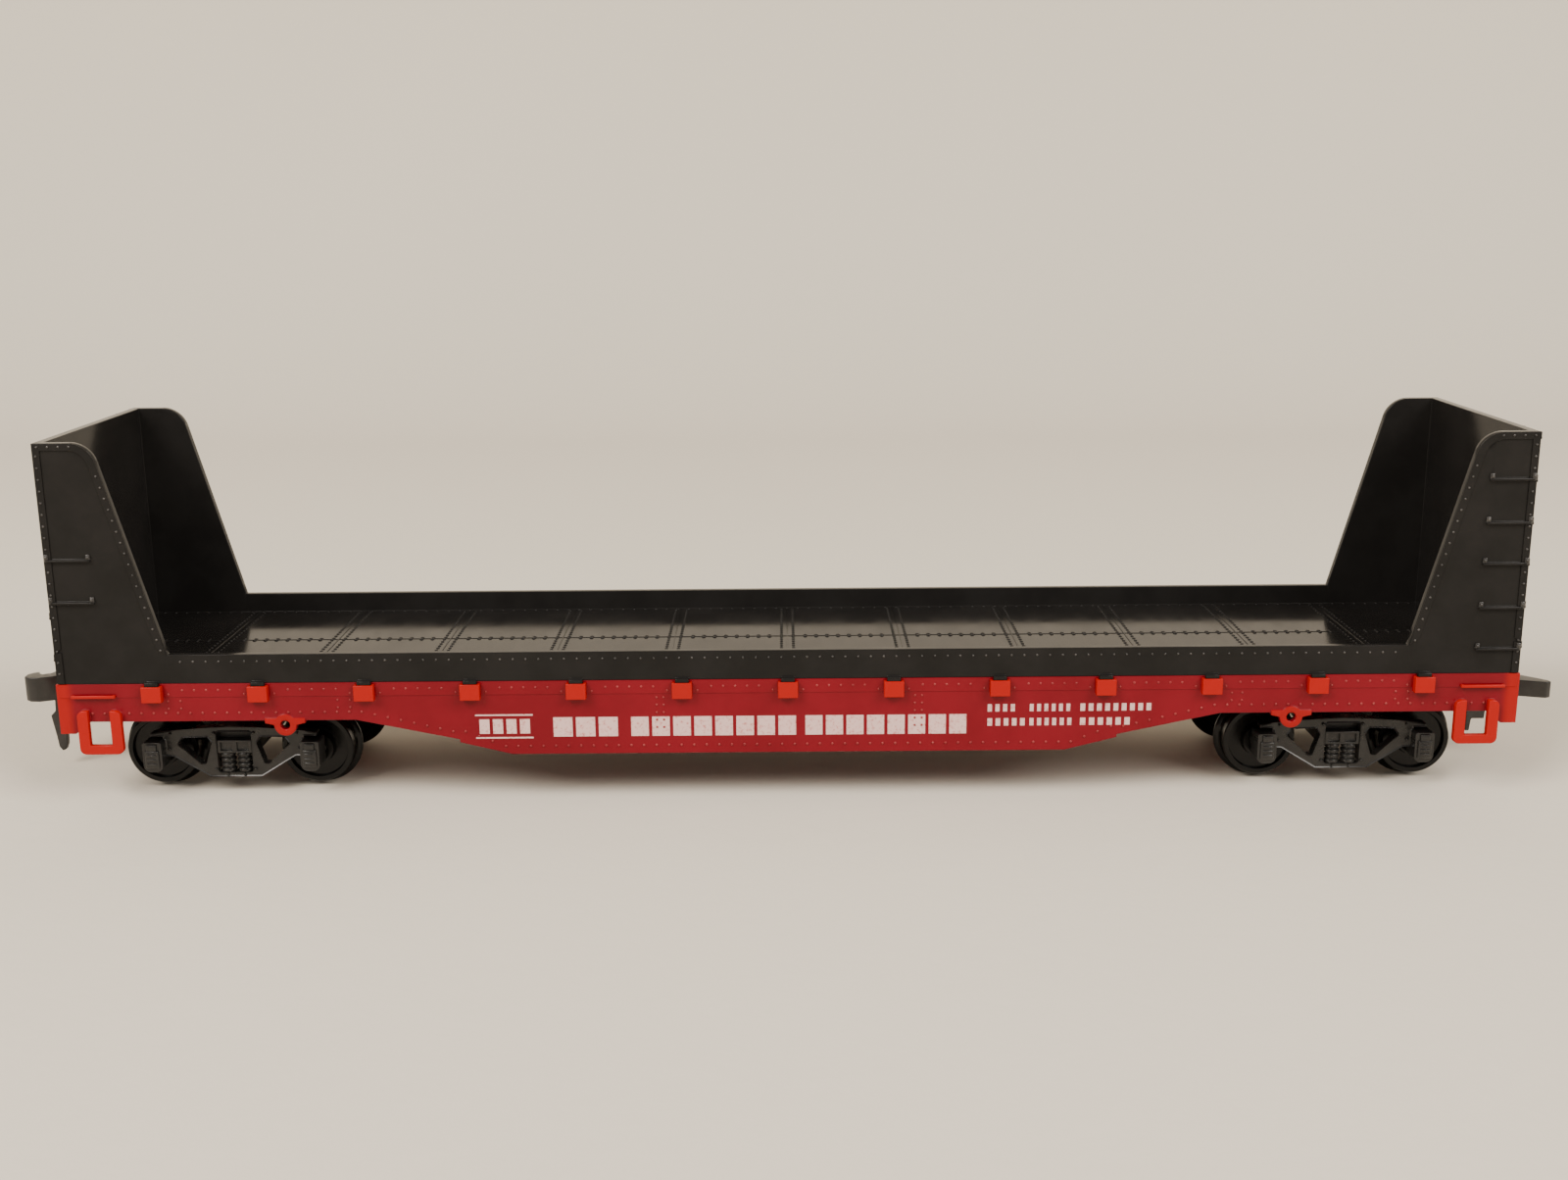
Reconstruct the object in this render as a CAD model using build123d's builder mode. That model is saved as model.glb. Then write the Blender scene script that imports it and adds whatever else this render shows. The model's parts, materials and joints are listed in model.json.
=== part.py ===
from build123d import *
import os

# HO scale (1:87.1) bulkhead flat car, in millimetres.
# X runs along the car, +Z is up, and the origin is under the middle of the car
# at the bottom of the wheel flanges. End "a" is at -X and end "b" is at +X.

# Driving dimensions
flange_depth = 0.65           # wheel flange below the rail top
half_length = 93.6            # over the end sills
half_width = 17.0             # over the side sills
sill_top = flange_depth + 15.9
sill_bottom = flange_depth + 10.85
belly_bottom = flange_depth + 6.05
deck_top = flange_depth + 17.0
skirt_top = flange_depth + 19.7
bulkhead_top = flange_depth + 46.95
wall = 1.0                    # moulded wall thickness

truck_x = 73.0                # truck centre from the middle of the car
wheelbase = 20.6
axle_z = flange_depth + 4.8
tread_r = 4.8
flange_r = 5.45
wheel_back = 7.2              # half the back-to-back gauge
wheel_face = 10.0
axle_r = 1.1
run_gap = 0.07                # radial clearance of everything that turns

pocket_pitch = 13.53
pocket_count = 13
pocket_w = 2.55
pocket_proud = 1.0

os.makedirs("parts", exist_ok=True)
ends = [("a", -1), ("b", 1)]


def upright(y):
    """Plane standing along the car at a given y, drawn as (x, z). It extrudes towards -Y."""
    return Plane(origin=(0, y, 0), x_dir=(1, 0, 0), z_dir=(0, -1, 0))


def axis_y(x, z):
    return Axis((x, 0, z), (0, 1, 0))


# Underframe: one red moulding
floor_top = sill_top - 1.0
floor_bottom = floor_top - 1.0
belly_flat = 35.6
belly_step = 42.3
belly_start = 55.5
end_sill_bottom = flange_depth + 9.25
end_sill_x = half_length - wall
coupler_gap_w = 8.2           # half width of the cut-out in each end sill
coupler_gap_top = flange_depth + 13.3
boss_bottom = flange_depth + 9.25
kingpin_r = 1.5

side_profile = [
    (-end_sill_x, sill_top), (-end_sill_x, sill_bottom), (-belly_start, sill_bottom),
    (-belly_step, flange_depth + 8.1), (-belly_step, flange_depth + 7.7),
    (-belly_flat, belly_bottom), (belly_flat, belly_bottom),
    (belly_step, flange_depth + 7.7), (belly_step, flange_depth + 8.1),
    (belly_start, sill_bottom), (end_sill_x, sill_bottom), (end_sill_x, sill_top),
]
web_profile = [
    (-58.0, floor_bottom), (-54.0, sill_bottom), (-belly_flat, belly_bottom + 0.6),
    (belly_flat, belly_bottom + 0.6), (54.0, sill_bottom), (58.0, floor_bottom),
]
pocket_bottom = flange_depth + 13.6
pocket_top = flange_depth + 15.7
pocket_xs = [pocket_pitch * (i - pocket_count // 2) for i in range(pocket_count)]
tab_w = 1.7
tab_drop = 0.55
step_x = 88.2                 # centre of each stirrup step
step_half = 2.8
step_bottom = flange_depth + 6.7
step_top = flange_depth + 12.5
strap = 1.2
staple_x = 64.6
staple_z = flange_depth + 10.3

with BuildPart() as underframe:
    # floor that carries the weight
    with BuildSketch(Plane.XY.offset(floor_bottom)):
        Rectangle(2 * end_sill_x, 2 * half_width - 1.0)
    extrude(amount=floor_top - floor_bottom)
    # fishbelly side sills
    for side in (-1, 1):
        with BuildSketch(upright(-half_width if side < 0 else half_width - wall)):
            with BuildLine():
                Polyline(*side_profile, close=True)
            make_face()
        extrude(amount=-wall)
    # end sills, cut away under the header for the coupler
    for name, end in ends:
        with BuildSketch(Plane.YZ.offset(end * half_length if end < 0 else end_sill_x)):
            with BuildLine():
                Polyline(
                    (-half_width, sill_top), (-half_width, end_sill_bottom),
                    (-coupler_gap_w, end_sill_bottom), (-coupler_gap_w, coupler_gap_top),
                    (coupler_gap_w, coupler_gap_top), (coupler_gap_w, end_sill_bottom),
                    (half_width, end_sill_bottom), (half_width, sill_top), close=True)
            make_face()
        extrude(amount=wall)
        # corner gusset under each end of the side sills
        for side in (-1, 1):
            with BuildSketch(upright(-half_width if side < 0 else half_width - wall)):
                with BuildLine():
                    Polyline(
                        (end * end_sill_x, sill_bottom + 0.4), (end * 89.8, sill_bottom + 0.4),
                        (end * 89.8, sill_bottom), (end * 91.6, end_sill_bottom),
                        (end * end_sill_x, end_sill_bottom), close=True)
                make_face()
            extrude(amount=-wall)
    # centre sill: two fishbelly webs with a bottom flange
    for side in (-1, 1):
        with BuildSketch(upright(side * 5.0)):
            with BuildLine():
                Polyline(*web_profile, close=True)
            make_face()
        extrude(amount=0.5, both=True)
        with BuildSketch(Plane.XY.offset(belly_bottom)):
            with Locations((0, side * 5.0)):
                Rectangle(2 * belly_flat, 2.4)
        extrude(amount=0.6)
    # cross-bearers between the sills, shallower towards the ends
    with BuildSketch(upright(half_width - 0.5)):
        for x, depth in ((6.8, 6.2), (20.3, 6.2), (33.8, 6.2), (47.4, 3.4)):
            with Locations((-x, floor_bottom - depth / 2), (x, floor_bottom - depth / 2)):
                Rectangle(0.8, depth)
    extrude(amount=2 * half_width - 1.0)
    for name, end in ends:
        x = end * truck_x
        # body bolster across the car and the round bearing over the truck
        with BuildSketch(Plane.XY.offset(floor_bottom)):
            with Locations((x, 0)):
                Rectangle(5.0, 2 * half_width - 1.0)
        extrude(amount=-2.2)
        with BuildSketch(Plane.XY.offset(floor_bottom)):
            with Locations((x, 0)):
                Circle(3.2)
        extrude(amount=boss_bottom - floor_bottom)
        with BuildSketch(Plane.XY.offset(boss_bottom)):
            with Locations((x, 0)):
                Circle(kingpin_r)
        extrude(amount=floor_bottom - boss_bottom, mode=Mode.SUBTRACT)
    # stake pockets on both sides, each with a mouth at the top
    for side in (-1, 1):
        with BuildSketch(Plane.XY.offset(pocket_bottom)):
            with Locations(*[(x, side * (half_width + pocket_proud / 2)) for x in pocket_xs]):
                Rectangle(pocket_w, pocket_proud + 0.02)
        extrude(amount=pocket_top - pocket_bottom)
        with BuildSketch(Plane.XY.offset(sill_top - tab_drop)):
            with Locations(*[(x, side * (half_width + 0.36)) for x in pocket_xs]):
                Rectangle(tab_w + 0.05, 0.78)
        extrude(amount=tab_drop, mode=Mode.SUBTRACT)
    # stirrup steps, roping staples and grab irons, four of each
    for name, end in ends:
        for side in (-1, 1):
            outer = side * half_width
            with BuildSketch(upright(outer)):
                with Locations((end * step_x, (step_bottom + step_top) / 2)):
                    RectangleRounded(2 * step_half, step_top - step_bottom, 0.8)
                with Locations((end * step_x, (step_bottom + strap + step_top) / 2)):
                    Rectangle(2 * step_half - 2.8, step_top - step_bottom - strap, mode=Mode.SUBTRACT)
                with Locations((end * step_x, step_top)):
                    Rectangle(2 * step_half - 2.8, 1.0, mode=Mode.SUBTRACT)
            extrude(amount=-side * 0.8)
            with BuildSketch(upright(outer - side * 0.9)):
                with BuildLine():
                    Polyline(
                        (end * 62.0, sill_bottom + 0.4), (end * 62.0, sill_bottom - 0.3),
                        (end * 63.1, staple_z), (end * 66.1, staple_z),
                        (end * 67.2, sill_bottom - 0.3), (end * 67.2, sill_bottom + 0.4), close=True)
                make_face()
                with Locations((end * staple_x, staple_z)):
                    Circle(1.45)
                with Locations((end * staple_x, staple_z)):
                    Circle(0.6, mode=Mode.SUBTRACT)
            extrude(amount=-side * 1.1)
            # grab iron: a bar held off the sill by its two turned-in ends
            grab_z = flange_depth + 14.3
            with BuildSketch(Plane.YZ.offset(min(end * 86.0, end * 91.6))):
                with Locations((outer + side * 0.42, grab_z)):
                    Rectangle(0.32, 0.4)
            extrude(amount=5.6)
            for x in (86.2, 91.4):
                with BuildSketch(Plane.YZ.offset(end * x - 0.2)):
                    with Locations((outer + side * 0.25, grab_z)):
                        Rectangle(0.6, 0.4)
                extrude(amount=0.4)
underframe.part.label = "underframe"
export_step(underframe.part, "parts/underframe.step")

# Deck body: one black moulding with the bulkheads
body_end = 93.3
bulkhead_t = 1.2
rung_x = (87.4, body_end - 0.35)
rung_t = 0.34
tall_ladder = [flange_depth + z for z in (41.0, 35.5, 30.25, 24.55, 19.15)]
short_ladder = [flange_depth + z for z in (32.1, 26.6)]
tall_end_ladder = [flange_depth + z for z in (46.1, 40.7, 35.3, 30.0, 24.5, 19.25)]
short_end_ladder = [flange_depth + z for z in (24.5, 19.0)]

with BuildPart() as deck_body:
    with BuildSketch(Plane.XY.offset(sill_top)):
        Rectangle(2 * body_end, 2 * half_width)
    extrude(amount=deck_top - sill_top)
    for side in (-1, 1):
        with BuildSketch(Plane.XY.offset(sill_top)):
            with Locations((0, side * (half_width - wall / 2))):
                Rectangle(2 * body_end, wall)
        extrude(amount=skirt_top - sill_top)
    for name, end in ends:
        with BuildSketch(Plane.XY.offset(sill_top)):
            with Locations((end * (body_end - bulkhead_t / 2), 0)):
                Rectangle(bulkhead_t, 2 * half_width)
        extrude(amount=bulkhead_top - sill_top)
        for side in (-1, 1):
            # side wing with a leaning edge and a large round upper corner
            with BuildSketch(upright(side * half_width)):
                with BuildLine():
                    Polyline(
                        (end * body_end, skirt_top - 0.5), (end * 78.85, skirt_top - 0.5),
                        (end * 86.28, bulkhead_top), (end * body_end, bulkhead_top), close=True)
                make_face()
                upper_corners = vertices().group_by(Axis.Y)[-1].sort_by(Axis.X)
                fillet(upper_corners[-1] if end < 0 else upper_corners[0], 3.3)
            extrude(amount=side * wall)
    # tabs that drop into the mouths of the stake pockets
    for side in (-1, 1):
        with BuildSketch(Plane.XY.offset(sill_top - tab_drop + 0.03)):
            with Locations(*[(x, side * (half_width + 0.36)) for x in pocket_xs]):
                Rectangle(tab_w, 0.72)
        extrude(amount=tab_drop + 0.25)
    # ladder rungs on the wings and on the end walls
    for name, end in ends:
        for side in (-1, 1):
            tall = end * side < 0
            for z in (tall_ladder if tall else short_ladder):
                with BuildSketch(Plane.YZ.offset(min(end * rung_x[0], end * rung_x[1]))):
                    with Locations((side * (half_width + 0.2), z)):
                        Rectangle(0.5, rung_t)
                extrude(amount=rung_x[1] - rung_x[0])
            for z in (tall_end_ladder if tall else short_end_ladder):
                with BuildSketch(Plane.XZ.offset(-side * 11.2 if side < 0 else -half_width + 0.3)):
                    with Locations((end * (body_end + 0.13), z)):
                        Rectangle(0.4, rung_t)
                extrude(amount=half_width - 0.3 - 11.2)
deck_body.part.label = "deck_body"
export_step(deck_body.part, "parts/deck_body.step")

# Ballast weight on the floor, under the deck
weight_l = 136.0
weight_w = 30.0
weight_t = 0.9

with BuildPart() as ballast_weight:
    with BuildSketch(Plane.XY.offset(floor_top)):
        RectangleRounded(weight_l, weight_w, 2.0)
    extrude(amount=weight_t)
ballast_weight.part.label = "ballast_weight"
export_step(ballast_weight.part, "parts/ballast_weight.step")

# Trucks, couplers and wheelsets, the same set at each end
frame_in = 10.9               # inner face of the sideframes
frame_out = 12.5
journal_out = 14.0
bolster_low = flange_depth + 5.0
bolster_high = flange_depth + 7.6
centre_top = boss_bottom - 0.05
arm_low = flange_depth + 6.9
arm_high = flange_depth + 8.9
pocket_back = 10.2            # coupler pocket, measured outwards from the truck centre
pocket_front = 20.0
pocket_floor = flange_depth + 8.4
cavity_low = flange_depth + 9.3
cavity_high = flange_depth + 11.6
lid_top = flange_depth + 12.3
pivot = 15.5                  # coupler pivot, outwards from the truck centre
coupler_pin_r = 1.2
coil_bottom = flange_depth + 2.2
coil_top = flange_depth + 5.05
coil_count = 4
coil_pitch = 0.7
coil_r = 0.98

frame_outline = [
    (0, 8.6), (2.9, 8.52), (7.0, 8.25), (9.4, 8.0), (10.9, 7.75), (10.9, 7.25), (9.3, 7.3), (9.3, 6.6),
    (11.0, 6.6), (11.0, 3.6), (9.3, 3.6), (9.0, 4.6), (8.0, 4.55), (3.4, 1.72), (0, 1.72),
]
window = [(2.95, 6.35), (3.5, 7.2), (6.7, 7.1), (7.35, 6.2), (4.5, 3.45), (3.85, 3.5)]

for name, end in ends:
    tx = end * truck_x

    with BuildPart() as truck_frame:
        for side in (-1, 1):
            with BuildSketch(upright(side * frame_in)):
                right = [(tx + x, flange_depth + z) for x, z in frame_outline]
                left = [(tx - x, flange_depth + z) for x, z in reversed(frame_outline[1:-1])]
                with BuildLine():
                    Polyline(*right, *left, close=True)
                make_face()
                for half in (-1, 1):
                    with BuildSketch(mode=Mode.PRIVATE) as hole:
                        with BuildLine():
                            Polyline(*[(tx + half * x, flange_depth + z) for x, z in window], close=True)
                        make_face()
                        fillet(hole.vertices(), 0.3)
                    add(hole.sketch, mode=Mode.SUBTRACT)
                with Locations((tx, flange_depth + 5.1)):
                    RectangleRounded(4.6, 5.6, 0.4, mode=Mode.SUBTRACT)
            extrude(amount=-side * (frame_out - frame_in))
            # journal boxes with a round lower end
            for half in (-1, 1):
                with BuildSketch(upright(side * frame_in)):
                    with Locations((tx + half * wheelbase / 2, flange_depth + 5.3)):
                        RectangleRounded(2.5, 3.3, 0.3)
                    with Locations((tx + half * wheelbase / 2, flange_depth + 4.1)):
                        RectangleRounded(2.5, 2.4, 0.95)
                extrude(amount=-side * (journal_out - frame_in))
        # bolster through both sideframes, thicker between the wheels
        with BuildSketch(Plane.XY.offset(flange_depth + 4.95)):
            with Locations((tx, 0)):
                Rectangle(4.5, 2 * frame_out - 0.2)
        extrude(amount=1.75)
        with BuildSketch(Plane.XY.offset(bolster_low)):
            with Locations((tx, 0)):
                Rectangle(6.0, 2 * frame_in)
        extrude(amount=bolster_high - bolster_low)
        # two panels sunk into each bolster end
        for side in (-1, 1):
            for half in (-1, 1):
                with BuildSketch(upright(side * (frame_out - 0.1))):
                    with Locations((tx + half * 1.08, flange_depth + 5.85)):
                        Rectangle(1.55, 1.15)
                extrude(amount=side * 0.4, mode=Mode.SUBTRACT)
        # arm that carries the coupler pocket over the outer axle
        with BuildSketch(Plane.XY.offset(arm_low)):
            with Locations((tx + end * (1.0 + 11.2) / 2, 0)):
                Rectangle(11.2 - 1.0, 6.4)
        extrude(amount=arm_high - arm_low)
        with BuildSketch(Plane.XY.offset(pocket_floor)):
            with Locations((tx + end * (pocket_back + pocket_front) / 2, 0)):
                Rectangle(pocket_front - pocket_back, 8.4)
        extrude(amount=cavity_high - pocket_floor)
        with BuildSketch(Plane.XY.offset(cavity_low)):
            with Locations((tx + end * (pocket_back + 0.8 + pocket_front + 1.0) / 2, 0)):
                Rectangle(pocket_front + 0.2 - pocket_back, 6.6)
        extrude(amount=cavity_high - cavity_low, mode=Mode.SUBTRACT)
        # round centre bearing with the hole for the kingpin
        with BuildSketch(Plane.XY.offset(bolster_high - 0.5)):
            with Locations((tx, 0)):
                Circle(3.4)
        extrude(amount=centre_top - bolster_high + 0.5)
        with BuildSketch(Plane.XY.offset(bolster_low)):
            with Locations((tx, 0)):
                Circle(kingpin_r + run_gap)
        extrude(amount=centre_top - bolster_low, mode=Mode.SUBTRACT)
        with BuildSketch(Plane.XY.offset(bolster_low)):
            with Locations((tx, 0)):
                Circle(2.55)
        extrude(amount=1.0, mode=Mode.SUBTRACT)
        with BuildSketch(Plane.XY.offset(pocket_floor)):
            with Locations((tx + end * pivot, 0)):
                Circle(coupler_pin_r)
        extrude(amount=cavity_low - pocket_floor, mode=Mode.SUBTRACT)
        # bearing cones for the axle points
        for half in (-1, 1):
            ax = tx + half * wheelbase / 2
            for side in (-1, 1):
                with BuildSketch(Plane.XY.offset(axle_z)):
                    with BuildLine():
                        Polyline(
                            (ax, side * 10.7), (ax + axle_r + run_gap, side * 10.7),
                            (ax + axle_r + run_gap, side * 11.03), (ax + 0.12 + run_gap, side * 12.73),
                            (ax + 0.12 + run_gap, side * 12.85), (ax, side * 12.85), close=True)
                    make_face()
                revolve(axis=axis_y(ax, axle_z), mode=Mode.SUBTRACT)
        # moulded bolster springs: stacked coils under each bolster end
        for side in (-1, 1):
            for half in (-1, 1):
                sx = tx + half * 1.1
                with BuildSketch(Plane.XZ.offset(-side * 11.6)):
                    with BuildLine():
                        coil_points = [(sx, coil_bottom)]
                        for i in range(coil_count):
                            z0 = coil_bottom + 0.05 + i * coil_pitch
                            coil_points += [(sx + 0.7, z0), (sx + coil_r, z0 + 0.2), (sx + coil_r, z0 + 0.5)]
                        coil_points += [(sx + 0.7, coil_top), (sx, coil_top)]
                        Polyline(*coil_points, close=True)
                    make_face()
                revolve(axis=Axis((sx, side * 11.6, 0), (0, 0, 1)))
    truck_frame.part.label = f"truck_frame_{name}"
    export_step(truck_frame.part, f"parts/truck_frame_{name}.step")

    with BuildPart() as kingpin:
        with BuildSketch(Plane.XY.offset(bolster_low + 0.05)):
            with Locations((tx, 0)):
                Circle(2.4)
        extrude(amount=0.85)
        with BuildSketch(Plane.XY.offset(bolster_low + 0.05)):
            with Locations((tx, 0)):
                Circle(kingpin_r)
        extrude(amount=floor_bottom - 0.3 - bolster_low)
        fillet(kingpin.faces().sort_by(Axis.Z)[0].edges(), 0.3)
        chamfer(kingpin.faces().sort_by(Axis.Z)[-1].edges(), 0.3)
    kingpin.part.label = f"kingpin_{name}"
    export_step(kingpin.part, f"parts/kingpin_{name}.step")

    # coupler pocket lid, pin and centring spring
    px = tx + end * pivot
    with BuildPart() as coupler_lid:
        with BuildSketch(Plane.XY.offset(cavity_high)):
            with Locations((tx + end * (pocket_back + pocket_front) / 2, 0)):
                RectangleRounded(pocket_front - pocket_back, 8.4, 0.5)
            with Locations((px, 0)):
                Circle(coupler_pin_r, mode=Mode.SUBTRACT)
        extrude(amount=lid_top - cavity_high)
    coupler_lid.part.label = f"coupler_lid_{name}"
    export_step(coupler_lid.part, f"parts/coupler_lid_{name}.step")

    with BuildPart() as coupler_pin:
        with BuildSketch(Plane.XY.offset(pocket_floor - 0.5)):
            with Locations((px, 0)):
                Circle(1.8)
        extrude(amount=0.5)
        with BuildSketch(Plane.XY.offset(pocket_floor - 0.5)):
            with Locations((px, 0)):
                Circle(coupler_pin_r)
        extrude(amount=lid_top - pocket_floor + 0.5)
        fillet(coupler_pin.faces().sort_by(Axis.Z)[0].edges(), 0.2)
    coupler_pin.part.label = f"coupler_pin_{name}"
    export_step(coupler_pin.part, f"parts/coupler_pin_{name}.step")

    leaf_t = 0.2
    leaf_in = 1.2
    with BuildPart() as coupler_spring:
        with BuildSketch(Plane.XY.offset(cavity_low + 0.15)):
            back = pocket_back + 0.85
            with Locations((tx + end * (back + leaf_t / 2), 0)):
                Rectangle(leaf_t, 6.2)
            for side in (-1, 1):
                with BuildLine():
                    Polyline(
                        (tx + end * back, side * 3.1), (tx + end * back, side * 2.8),
                        (tx + end * (back + 2.3), side * leaf_in),
                        (tx + end * (back + 2.4), side * (leaf_in + 0.22)),
                        (tx + end * (back + 0.2), side * 3.1), close=True)
                make_face()
        extrude(amount=1.9)
    coupler_spring.part.label = f"coupler_spring_{name}"
    export_step(coupler_spring.part, f"parts/coupler_spring_{name}.step")

    # wheelsets: a pointed axle with a wheel pressed on near each end
    for number, half in ((1, -1), (2, 1)):
        ax = tx + half * wheelbase / 2
        with BuildPart() as axle:
            with BuildSketch(Plane.XY.offset(axle_z)):
                with BuildLine():
                    Polyline(
                        (ax, -12.7), (ax + 0.12, -12.7), (ax + axle_r, -11.0), (ax + axle_r, 11.0),
                        (ax + 0.12, 12.7), (ax, 12.7), close=True)
                make_face()
            revolve(axis=axis_y(ax, axle_z))
        axle.part.label = f"axle_{name}{number}"
        export_step(axle.part, f"parts/axle_{name}{number}.step")

        for hand, side in (("near", -1), ("far", 1)):
            rim = [
                (axle_r, wheel_back), (2.1, wheel_back), (2.3, wheel_back + 0.55),
                (3.9, wheel_back + 0.55), (4.1, wheel_back), (5.2, wheel_back),
                (flange_r, 7.4), (flange_r, 7.6), (5.2, 7.85), (4.9, 8.05), (tread_r, 8.3),
                (tread_r - 0.07, 9.85), (tread_r - 0.2, wheel_face), (4.05, wheel_face),
                (3.9, 9.35), (2.3, 9.25), (2.1, 10.2), (axle_r, 10.2),
            ]
            with BuildPart() as wheel:
                with BuildSketch(Plane.XY.offset(axle_z)):
                    with BuildLine():
                        Polyline(*[(ax + r, side * y) for r, y in rim], close=True)
                    make_face()
                revolve(axis=axis_y(ax, axle_z))
            wheel.part.label = f"wheel_{name}{number}_{hand}"
            export_step(wheel.part, f"parts/wheel_{name}{number}_{hand}.step")

    # coupler: hook lobe on one side, slanted horn on the other, turned half round at the other end.
    # The coupler at end b hangs a little lower and has a shorter hook.
    droop = 0.0 if end < 0 else 0.9
    lobe_low = flange_depth + 9.5 - droop
    lobe_high = flange_depth + 12.9 - 2.0 * droop
    horn_low = flange_depth + 9.2 - droop
    horn_high = flange_depth + 11.5 - droop
    shank_low = cavity_low + 0.15
    shank_high = cavity_high - 0.15
    long_lobe = [
        (98.6, -0.9), (98.9, 1.8), (100.2, 3.0), (101.9, 3.7), (103.2, 3.6), (104.0, 2.9), (104.1, 1.7),
        (103.6, 0.9), (102.9, 0.5), (102.6, 1.2), (101.9, 1.7), (101.1, 1.2), (100.8, 0.1), (100.8, -0.9),
    ]
    short_lobe = [
        (98.6, -0.9), (98.9, 1.8), (100.0, 2.8), (101.4, 3.1), (101.1, 1.9), (101.0, 0.6), (100.8, -0.9),
    ]
    horn = [
        (98.4, 0.6), (98.4, -1.2), (99.9, -2.5), (103.4, -3.6), (104.1, -3.3), (104.0, -2.6), (100.9, 0.6),
    ]

    with BuildPart() as coupler:
        with BuildSketch(Plane.XY.offset(shank_low)):
            with Locations((px, 0)):
                Circle(2.0)
            with Locations((end * (truck_x + pivot + 99.4) / 2, 0)):
                Rectangle(99.4 - truck_x - pivot, 2.4)
            with Locations((px - end * 1.9, 0)):
                Rectangle(3.0, 0.9)
            with Locations((px, 0)):
                Circle(coupler_pin_r + run_gap, mode=Mode.SUBTRACT)
        extrude(amount=shank_high - shank_low)
        with BuildSketch(Plane.XY.offset(lobe_low)):
            with BuildLine():
                Polyline(*[(end * x, end * y) for x, y in (long_lobe if end < 0 else short_lobe)], close=True)
            make_face()
        extrude(amount=lobe_high - lobe_low)
        with BuildSketch(Plane.XY.offset(horn_low)):
            with BuildLine():
                Polyline(*[(end * x, end * y) for x, y in horn], close=True)
            make_face()
        extrude(amount=horn_high - horn_low)
        # uncoupling pin: hangs straight at end a, folded back under the shank at end b
        if end < 0:
            pin_outline = [
                (-99.2, 9.6), (-101.3, 9.6), (-101.4, 7.2), (-102.1, 6.5), (-101.6, 3.6), (-101.4, 2.0),
                (-100.95, 1.4), (-100.5, 1.6), (-100.2, 2.4), (-100.1, 4.0), (-100.4, 6.6), (-99.2, 8.2),
            ]
        else:
            pin_outline = [
                (95.2, 9.6), (97.0, 9.6), (96.6, 4.45), (94.85, 4.45), (94.65, 2.7), (94.05, 2.7),
                (94.05, 5.6), (94.6, 6.4),
            ]
        with BuildSketch(upright(0)):
            with BuildLine():
                Polyline(*[(x, flange_depth + z) for x, z in pin_outline], close=True)
            make_face()
        extrude(amount=0.45, both=True)
    coupler.part.label = f"coupler_{name}"
    export_step(coupler.part, f"parts/coupler_{name}.step")
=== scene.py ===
import bpy
import bmesh
import json
from math import radians
from mathutils import Matrix, Vector

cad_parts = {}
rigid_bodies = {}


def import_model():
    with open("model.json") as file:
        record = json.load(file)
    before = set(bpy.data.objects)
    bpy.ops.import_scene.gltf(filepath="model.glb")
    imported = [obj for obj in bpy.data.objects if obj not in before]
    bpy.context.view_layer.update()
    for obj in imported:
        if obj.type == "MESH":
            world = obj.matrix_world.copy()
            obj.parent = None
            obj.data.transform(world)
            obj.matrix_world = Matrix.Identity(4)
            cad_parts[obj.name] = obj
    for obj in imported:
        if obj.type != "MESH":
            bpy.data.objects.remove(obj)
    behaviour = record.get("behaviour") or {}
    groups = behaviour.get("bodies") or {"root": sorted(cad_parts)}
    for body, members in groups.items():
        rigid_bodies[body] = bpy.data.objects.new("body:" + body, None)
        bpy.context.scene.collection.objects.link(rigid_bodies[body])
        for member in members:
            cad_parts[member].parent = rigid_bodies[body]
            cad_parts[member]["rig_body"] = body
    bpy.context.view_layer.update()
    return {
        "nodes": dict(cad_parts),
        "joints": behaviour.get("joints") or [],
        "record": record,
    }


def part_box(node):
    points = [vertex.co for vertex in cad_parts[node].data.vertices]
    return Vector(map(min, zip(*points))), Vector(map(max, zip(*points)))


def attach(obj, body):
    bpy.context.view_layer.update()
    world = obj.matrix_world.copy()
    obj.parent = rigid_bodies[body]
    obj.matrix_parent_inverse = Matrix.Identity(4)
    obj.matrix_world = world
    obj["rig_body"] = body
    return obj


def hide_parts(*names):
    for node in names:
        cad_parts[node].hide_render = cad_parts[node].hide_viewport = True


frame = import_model()
cadNodes = frame["nodes"]
mm = 0.001

# places every piece starts from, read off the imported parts
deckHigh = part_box("deck_body")[1]
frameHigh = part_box("underframe")[1]
joints = {joint["name"]: joint for joint in frame["joints"]}
mounts = {mount["name"]: mount for mount in frame["record"]["mounts"]}

sillFace = 17.0 * mm                       # outer face of the side sills and skirts
deckTop = mounts["deck"]["pos_m"][2]
flangeDepth = mounts["rail_wheels"]["pos_m"][2]
sillTop = deckTop - 1.1 * mm
bulkheadFace = deckHigh.x - 0.33 * mm      # outer face of the end wall, inside the rungs
truckX = joints["truck_b_swivel"]["pos_m"][0]
seatDepth = 0.05                           # mm an added piece is sunk into the part that carries it
headSmooth = 60                            # degrees below which rivet facets shade as one curve
blockSmooth = 50


# camera first
viewSettings = {
    "place": (-0.00041, -0.225616, 0.077735 + flangeDepth),
    "pitch": 13.52, "roll": -0.46, "lens": 39.05, "sensor": 36, "clip": (0.01, 10),
}


def makeCamera(settings):
    bpy.ops.object.camera_add(location=settings["place"])
    camera = bpy.context.object
    camera.name = "viewCamera"
    camera.rotation_euler = (radians(90 - settings["pitch"]), 0, 0)
    camera.rotation_euler.rotate_axis("Z", radians(settings["roll"]))
    camera.data.lens = settings["lens"]
    camera.data.sensor_width = settings["sensor"]
    camera.data.clip_start, camera.data.clip_end = settings["clip"]
    bpy.context.scene.camera = camera
    print("camera placed")


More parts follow.
